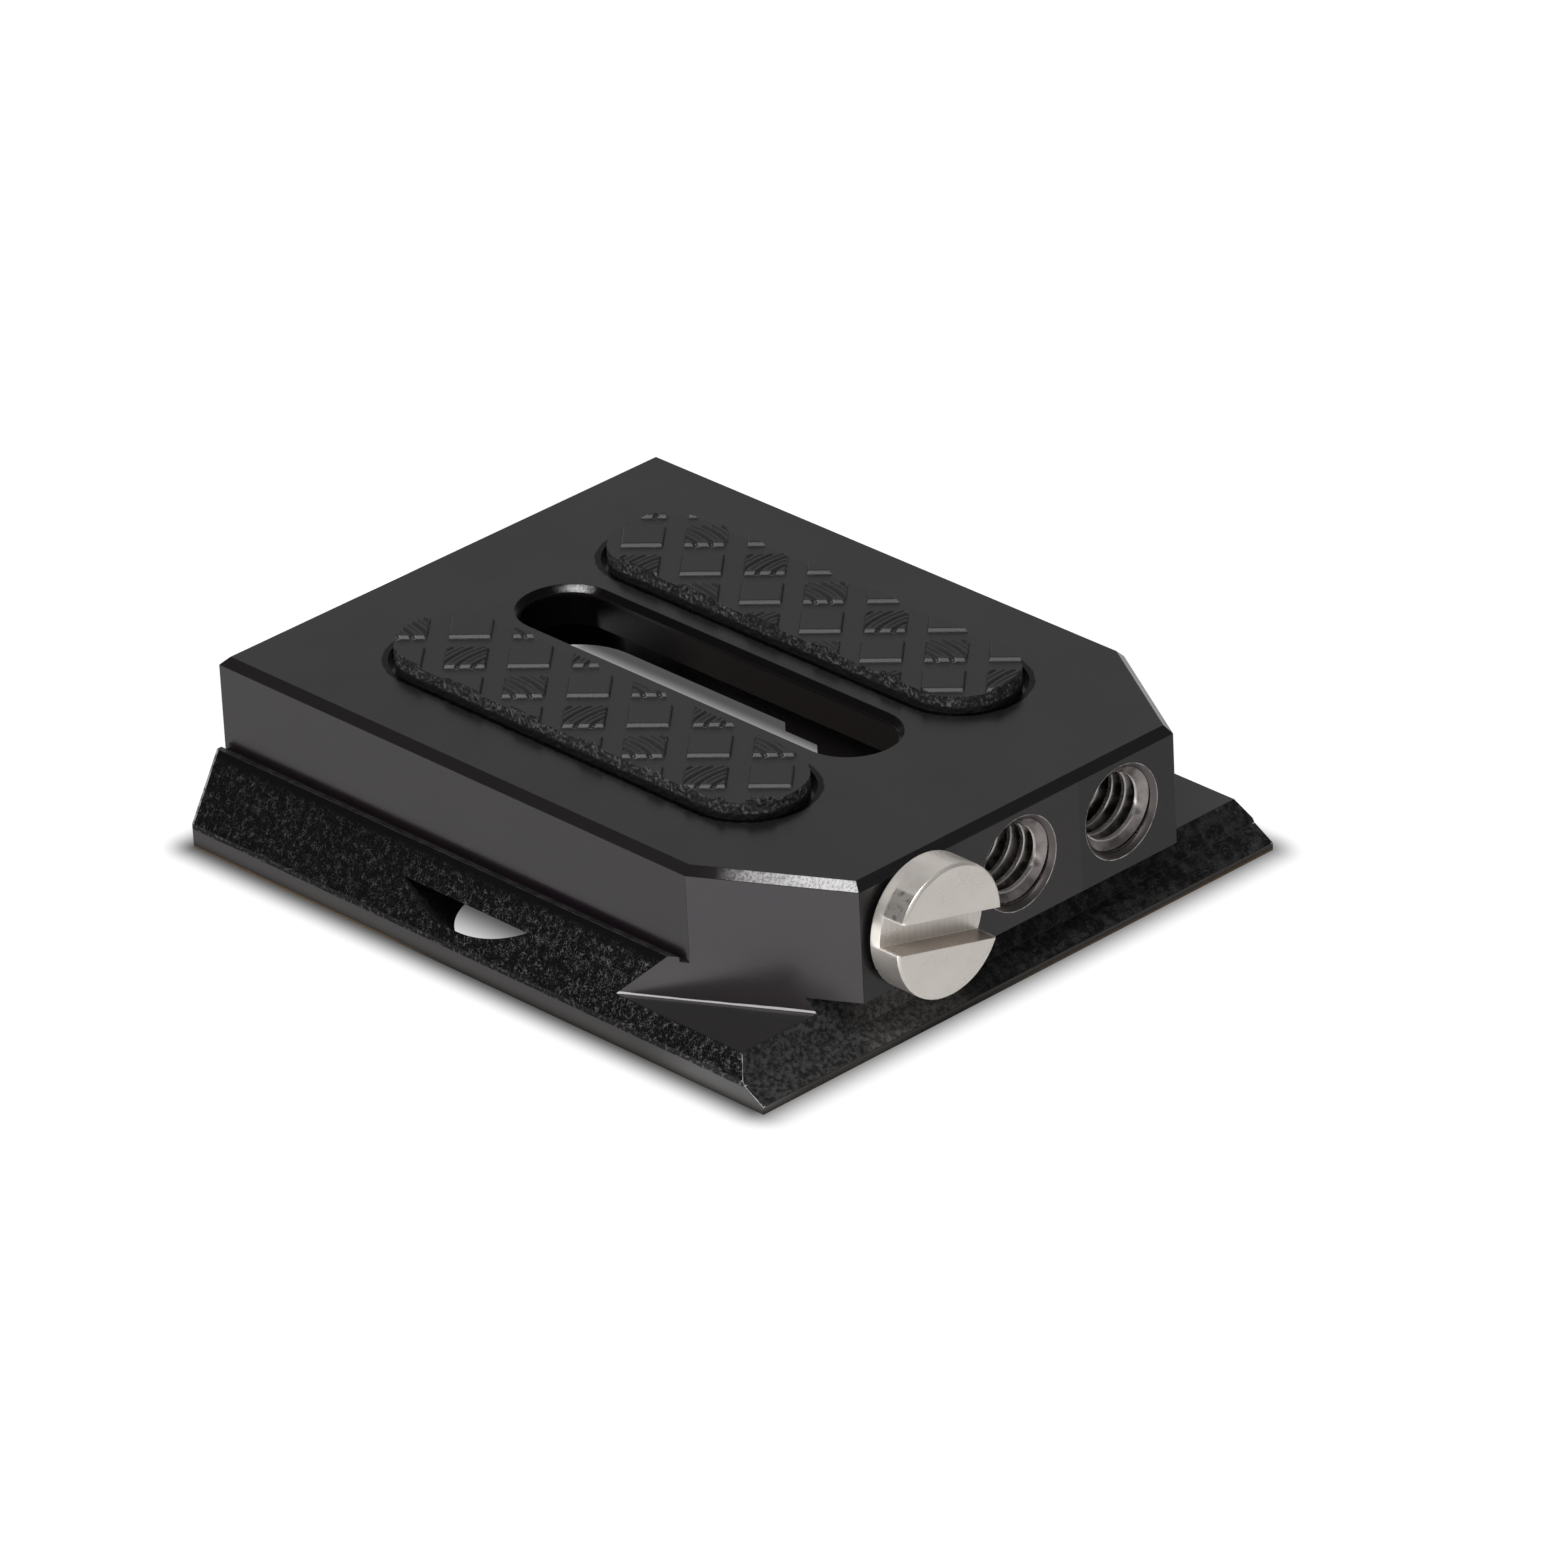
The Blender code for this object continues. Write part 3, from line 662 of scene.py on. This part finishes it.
def round_edges(item, width, edge_slot=-1):
    """Break a solid's edges, as tumbling and blasting do, and shade its flat faces flat.
    Without a slot of their own, the broken edges keep the material of their faces."""
    own_normals = item.data.attributes.get("custom_normal")
    if own_normals:
        item.data.attributes.remove(own_normals)
    item.data.shade_smooth()
    weld = item.modifiers.new("weld", "WELD")
    weld.merge_threshold = 2 * MICRON
    flat = item.modifiers.new("flat", "DECIMATE")
    flat.decimate_type = "DISSOLVE"
    flat.angle_limit = FLAT_ANGLE
    bevel = item.modifiers.new("edges", "BEVEL")
    bevel.width = width
    bevel.segments = 2
    bevel.limit_method = "ANGLE"
    bevel.angle_limit = EDGE_ANGLE
    bevel.material = edge_slot
    normals = item.modifiers.new("normals", "WEIGHTED_NORMAL")
    normals.mode = "FACE_AREA"
    normals.weight = 100


def add_piece(name, mesh, material):
    item = add_object(name, mesh)
    item.data.materials.append(material)
    return item


def mesh_from(shape, name):
    bmesh.ops.recalc_face_normals(shape, faces=shape.faces)
    mesh = bpy.data.meshes.new(name)
    shape.to_mesh(mesh)
    shape.free()
    return mesh


def skin(shape, rings):
    """Faces from each ring of vertices to the next, and a cap at both ends."""
    count = len(rings[0])
    for first, second in zip(rings, rings[1:]):
        for i in range(count):
            j = (i + 1) % count
            shape.faces.new((first[i], first[j], second[j], second[i]))
    shape.faces.new(rings[0][::-1])
    shape.faces.new(rings[-1])


def helix_ridge(name, section, start, end, centre, trim, material):
    """A ridge with the given section of (radius, along) points, wound about an axis that
    runs along +Y from centre, closed at both ends. trim(radius, depth) moves a point and
    gives its depth and radius."""
    shape = bmesh.new()
    rings = []
    for step in range(math.ceil((end - start) / THREAD_PITCH * TURN_STEPS) + 1):
        angle = 2 * math.pi * step / TURN_STEPS
        depth = start + THREAD_PITCH * step / TURN_STEPS
        ring = []
        for radius, along in section:
            y, r = trim(radius, depth + along)
            ring.append(shape.verts.new((centre.x + r * math.sin(angle), centre.y + y,
                                         centre.z + r * math.cos(angle))))
        rings.append(ring)
    skin(shape, rings)
    item = add_piece(name, mesh_from(shape, name), material)
    smooth(item)
    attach(item, "root")
    return item


def add_hole_threads(material):
    """The threads in the two open holes, cut back by the countersink at the mouth."""
    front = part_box("plate_body")[0].y
    wall = THREAD_RADIUS - WALL_GAP
    crest = THREAD_RADIUS - THREAD_DEPTH
    foot = THREAD_CREST / 2 + THREAD_DEPTH * math.tan(THREAD_FLANK)
    section = [(wall, -foot), (crest, -THREAD_CREST / 2), (crest, THREAD_CREST / 2),
               (wall, foot)]

    def trim(radius, depth):
        depth = max(depth, MOUTH_RADIUS - wall)
        return depth, min(wall, max(radius, MOUTH_RADIUS - depth))

    for name, step in (("middle_hole_thread", 0), ("right_hole_thread", 1)):
        centre = Vector((step * HOLE_PITCH, front, HOLE_HEIGHT))
        item = helix_ridge(name, section, -foot, THREAD_LENGTH, centre, trim, material)


def add_screw_thread(material):
    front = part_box("plate_body")[0].y
    centre = Vector((-HOLE_PITCH, front, HOLE_HEIGHT))
    section = [(SHANK_ROOT, -SHANK_FOOT_HALF), (SHANK_CREST, -SHANK_CREST_HALF),
               (SHANK_CREST, SHANK_CREST_HALF), (SHANK_ROOT, SHANK_FOOT_HALF)]
    item = helix_ridge("camera_screw_thread", section, SHANK_THREAD_START, SHANK_THREAD_END,
                       centre, lambda radius, depth: (depth, radius), material)


def climb(depth, slope):
    """Rise of a tile at a distance in from one of its sides, from nothing to one: a small
    upright foot, a slope, and a rounded brow."""
    if depth <= 0:
        return 0
    foot = TILE_FOOT_RISE / TILE_RISE
    if depth < TILE_FOOT_RUN:
        return foot * depth / TILE_FOOT_RUN
    part = min(1, (depth - TILE_FOOT_RUN) / slope)
    if part >= ROUNDED_FROM:
        rest = 1 - ROUNDED_FROM
        part = ROUNDED_FROM + rest * math.sin((part - ROUNDED_FROM) / rest * math.pi / 2)
    return foot + (1 - foot) * part


def rib_cut(reach, from_front):
    """Depth of the curved grooves at a distance from the point that they are centred on:
    deep and shallow ones by turns, and only deep ones through the tile's front edge."""
    count = round((reach - RIB_FIRST) / RIB_STEP)
    near = abs(reach - RIB_FIRST - count * RIB_STEP)
    deep, half = RIB_SIZES[count % 2]
    if count % 2 and from_front < RIB_KEPT_EDGE:
        return 0
    return deep * max(0, 1 - (near / half) ** 2)


def tile_height(a, b):
    """Height of the pad's top above its base sheet, at lattice coordinates a and b. Every
    second tile is ribbed, and its ribs lean to the other side from row to row."""
    i, j = round(a / TILE_PITCH), round(b / TILE_PITCH)
    da, db = a - i * TILE_PITCH, b - j * TILE_PITCH
    rise = min(climb(TILE_HALF + da, FRONT_SLOPE), climb(TILE_HALF - da, SIDE_SLOPE),
               climb(TILE_HALF - abs(db), SIDE_SLOPE))
    height = TILE_RISE * rise
    if height > 0 and (i + j) % 2:
        across = db if i % 2 == 0 else -db
        reach = math.hypot(da + TILE_HALF + RIB_CENTRE[0], across + TILE_HALF + RIB_CENTRE[1])
        cut = rib_cut(reach, TILE_HALF + da)
        height = max(min(height, GROOVE_FLOOR), height - cut)
    return height


def lattice_lines(low, high):
    """Grid lines that fall on every tile's foot and slope, finer over the tile's top."""
    slope = [TILE_HALF - run for run in SLOPE_LINES]
    count = math.ceil(2 * slope[-1] / PAD_CELL)
    top = [slope[-1] - 2 * slope[-1] * k / count for k in range(1, count)]
    half = TILE_PITCH / 2
    gap = [(half + TILE_HALF) / 2, TILE_HALF + GAP_LINE]
    period = sorted([-half] + [-v for v in gap + slope] + top + slope + gap)
    lines = []
    for k in range(math.floor(low / TILE_PITCH) - 1, math.ceil(high / TILE_PITCH) + 2):
        lines += [k * TILE_PITCH + v for v in period]
    return [v for v in lines if low <= v <= high]


def reach_in_pad(x, y, front, back, radius):
    """Distance from the middle line of a round-ended outline."""
    middle = min(max(y, front + radius), back - radius)
    return math.hypot(x, y - middle)


def pad_slab(name, centre, first, low, high):
    """The pad's moulded sheet, with its relief as real shape, cut a little oversize."""
    radius = (high.x - low.x) / 2
    cos, sin = math.cos(TILE_TURN), math.sin(TILE_TURN)
    origin_x, origin_y = first

    def to_lattice(x, y):
        dx, dy = x - origin_x, y - origin_y
        return dx * cos + dy * sin, dx * sin - dy * cos

    def from_lattice(a, b):
        return origin_x + a * cos + b * sin, origin_y + a * sin - b * cos

    corners = [to_lattice(x, y) for x in (low.x - PAD_OVERSIZE, high.x + PAD_OVERSIZE)
               for y in (low.y - PAD_OVERSIZE, high.y + PAD_OVERSIZE)]
    a_lines = lattice_lines(min(c[0] for c in corners), max(c[0] for c in corners))
    b_lines = lattice_lines(min(c[1] for c in corners), max(c[1] for c in corners))

    shape = bmesh.new()
    made = {}
    top = PAD_BASE_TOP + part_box("plate_body")[1].z

    def corner(ia, ib):
        if (ia, ib) not in made:
            a, b = a_lines[ia], b_lines[ib]
            made[ia, ib] = shape.verts.new((*from_lattice(a, b), top + tile_height(a, b)))
        return made[ia, ib]

    for ia in range(len(a_lines) - 1):
        a = (a_lines[ia] + a_lines[ia + 1]) / 2
        for ib in range(len(b_lines) - 1):
            x, y = from_lattice(a, (b_lines[ib] + b_lines[ib + 1]) / 2)
            if reach_in_pad(x - centre, y, low.y, high.y, radius) < radius + PAD_OVERSIZE:
                shape.faces.new((corner(ia, ib), corner(ia + 1, ib),
                                 corner(ia + 1, ib + 1), corner(ia, ib + 1)))
    rim = [e for e in shape.edges if len(e.link_faces) == 1]
    wall = bmesh.ops.extrude_edge_only(shape, edges=rim)["geom"]
    for vert in [v for v in wall if isinstance(v, bmesh.types.BMVert)]:
        vert.co.z = low.z
    bottom = [e for e in wall if isinstance(e, bmesh.types.BMEdge)]
    bmesh.ops.contextual_create(shape, geom=bottom)
    return mesh_from(shape, name)


def round_ended(s, front, back, radius):
    """Point and outward direction at a length s along an outline with two round ends."""
    straight = back - front
    half_turn = math.pi * radius
    if s < half_turn:
        middle, angle = back, s / radius
    elif s < half_turn + straight:
        return -radius, back - (s - half_turn), -1, 0
    elif s < 2 * half_turn + straight:
        middle, angle = front, math.pi + (s - half_turn - straight) / radius
    else:
        return radius, front + (s - 2 * half_turn - straight), 1, 0
    cos, sin = math.cos(angle), math.sin(angle)
    return radius * cos, middle + radius * sin, cos, sin


def torn_outline(name, centre, low, high):
    """The die-cut outline of a pad, with a torn wall."""
    radius = (high.x - low.x) / 2 - PAD_TRIM
    front, back = low.y + PAD_TRIM + radius, high.y - PAD_TRIM - radius
    length = 2 * (back - front) + 2 * math.pi * radius
    count = math.ceil(length / ROUGH_STEP)
    levels = math.ceil((high.z - low.z) / ROUGH_STEP)
    shape = bmesh.new()
    rings = []
    for level in range(levels + 3):
        z = low.z + (level - 1) * (high.z - low.z) / levels
        ring = []
        for step in range(count):
            x, y, nx, ny = round_ended(length * step / count, front, back, radius)
            spot = Vector((x + centre, y, z))
            push = ROUGH_DEPTH * sum(noise.noise(spot / wave) * share
                                     for wave, share in ROUGH_WAVES)
            ring.append(shape.verts.new((spot.x + nx * push, spot.y + ny * push, z)))
        rings.append(ring)
    skin(shape, rings)
    return mesh_from(shape, name)


def add_pad(name, node, tile_place, material):
    low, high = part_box(node)
    centre = (low.x + high.x) / 2
    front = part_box("plate_body")[0].y
    first = (centre + tile_place[0], front + tile_place[1])
    pad = add_piece(name, pad_slab(name, centre, first, low, high), material)
    cutter = add_object(name + "_cutter", torn_outline(name + "_cutter", centre, low, high))
    cut = pad.modifiers.new("outline", "BOOLEAN")
    cut.operation = "INTERSECT"
    cut.solver = "MANIFOLD"
    cut.object = cutter
    bpy.context.view_layer.update()
    graph = bpy.context.evaluated_depsgraph_get()
    mesh = bpy.data.meshes.new_from_object(pad.evaluated_get(graph))
    pad.modifiers.clear()
    pad.data = mesh
    bpy.data.objects.remove(cutter, do_unlink=True)
    smooth(pad)
    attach(pad, "root")
    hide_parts(node)


def floor_shade(nodes, x, y):
    """Brightness of the floor as the camera sees it: white, with a narrow shade where the
    plate stands, and some light under it where the slot and the left window look down."""
    low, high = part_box("plate_body")
    side = nodes.absolute(x)
    across = nodes.away(side, high.x - 0.3 * MM, 2.9 * MM)
    before = nodes.away(nodes.times(y, -1), -low.y - 1.35 * MM, 4.1 * MM)
    back_edge = nodes.rise(side, 18 * MM, 22 * MM, high.y + 1.4 * MM, high.y - 0.3 * MM)
    behind = nodes.away(nodes.minus(y, back_edge), 0.0, 3.2 * MM)
    off = nodes.length(across, nodes.most(before, behind))
    under_slot = nodes.times(nodes.rise(x, 8 * MM, 12.5 * MM),
                             nodes.rise(y, -2 * MM, 5 * MM),
                             nodes.rise(x, 13.2 * MM, 15.3 * MM, 0.34, 0.0))
    under_window = nodes.times(nodes.rise(x, -23.5 * MM, -21.5 * MM),
                               nodes.rise(y, -3 * MM, 2 * MM),
                               nodes.fall(y, 11 * MM, 16 * MM),
                               nodes.rise(x, -22.5 * MM, -17.6 * MM, 0.72, 0.0))
    return nodes.plus(nodes.rise(off, 0.0, 1.0, 0.085, 1.03), under_slot, under_window)


def floor_glow(nodes, x, y):
    """Brightness of the floor in reflections: bright to the left of the cut corner, dimmer
    in front, and dark under the plate."""
    low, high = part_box("plate_body")
    off_x = nodes.minus(x, low.x + 7 * MM)
    off_y = nodes.minus(y, low.y + 5.5 * MM)
    reach = nodes.length(off_x, off_y)
    left = nodes.toward(off_x, off_y, reach, math.radians(192))
    ahead = nodes.toward(off_x, off_y, reach, math.radians(313))
    level = nodes.plus(nodes.rise(left, 0.55, 0.92, 0.0, 0.9), 0.9)
    level = nodes.minus(level, nodes.rise(ahead, 0.1, 0.6, 0.0, 0.35))
    clear = nodes.most(
        nodes.rise(nodes.absolute(x), high.x - 0.5 * MM, high.x + 1.5 * MM),
        nodes.fall(y, low.y - 1.5 * MM, low.y + 0.5 * MM),
        nodes.rise(y, high.y - 0.5 * MM, high.y + 1.5 * MM))
    return nodes.times(level, nodes.rise(clear, 0.0, 1.0, 0.01, 1.0))


def floor_material():
    """One look for the camera, one for reflections, and plain grey for all other light."""
    material = bpy.data.materials.new("floor")
    nodes = bare_nodes(material)
    x, y = nodes.place()[:2]
    plain = nodes.new("ShaderNodeBsdfDiffuse")
    plain.inputs["Color"].default_value = (0.7, 0.7, 0.7, 1)
    seen = nodes.glow("ShaderNodeEmission", floor_shade(nodes, x, y))
    mirrored = nodes.glow("ShaderNodeEmission", floor_glow(nodes, x, y))
    shader = nodes.by_ray("Is Camera Ray", plain.outputs[0], seen)
    shader = nodes.by_ray("Is Glossy Ray", shader, mirrored)
    nodes.link(shader, nodes.new("ShaderNodeOutputMaterial").inputs["Surface"])
    return material


def add_floor():
    bpy.ops.mesh.primitive_plane_add(size=FLOOR_SIZE, location=(0, 0, -FLOOR_GAP))
    floor = bpy.context.object
    floor.name = "floor"
    floor.data.materials.append(floor_material())


def add_world():
    """Pale to the camera, soft on the plate, and dark overhead in reflections."""
    world = bpy.data.worlds.new("studio")
    bpy.context.scene.world = world
    nodes = bare_nodes(world)
    rise = nodes.split(nodes.new("ShaderNodeTexCoord").outputs["Generated"])[2]
    mirrored = nodes.glow("ShaderNodeBackground", nodes.rise(rise, 0.0, 0.15, 0.9, 0.13))
    soft = nodes.glow("ShaderNodeBackground", 0.35)
    seen = nodes.glow("ShaderNodeBackground", 1.0)
    shader = nodes.by_ray("Is Glossy Ray", soft, mirrored)
    shader = nodes.by_ray("Is Camera Ray", shader, seen)
    nodes.link(shader, nodes.new("ShaderNodeOutputWorld").inputs["Surface"])


def dress(node, *materials):
    item = bpy.data.objects[node]
    item.data.materials.clear()
    for material in materials:
        item.data.materials.append(material)
    return item


def pick_slopes(item):
    """Give the dovetail's sloping faces their own material, and not the countersinks."""
    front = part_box("plate_body")[0].y
    least, most = SLOPES_FACE
    for face in item.data.polygons:
        sink = face.center.z > SINKS_ABOVE and face.center.y < front + SINKS_WITHIN
        if least < face.normal.z < most and face.center.z < SLOPES_BELOW and not sink:
            face.material_index = SLOPE_SLOT


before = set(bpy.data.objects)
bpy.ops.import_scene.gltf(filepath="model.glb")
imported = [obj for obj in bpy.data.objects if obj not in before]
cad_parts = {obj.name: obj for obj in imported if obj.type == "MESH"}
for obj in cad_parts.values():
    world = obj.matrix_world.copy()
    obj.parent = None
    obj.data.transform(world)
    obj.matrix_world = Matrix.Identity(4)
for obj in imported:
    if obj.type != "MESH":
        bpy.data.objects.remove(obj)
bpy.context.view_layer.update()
bpy.context.scene.view_settings.view_transform = "Standard"
add_camera()
for lamp in LAMPS:
    add_lamp(*lamp)
add_world()
add_floor()
plate = dress("plate_body", plate_material(), edge_material(), slope_material())
pick_slopes(plate)
round_edges(plate, PLATE_ROUND, EDGE_SLOT)
steel = steel_material()
screw = dress("camera_screw", steel)
round_edges(screw, SCREW_ROUND)
add_hole_threads(thread_material())
add_screw_thread(steel)
rubber = rubber_material()
add_pad("left_pad", "grip_pad_left", LEFT_TILE_PLACE, rubber)
add_pad("right_pad", "grip_pad_right", RIGHT_TILE_PLACE, rubber)
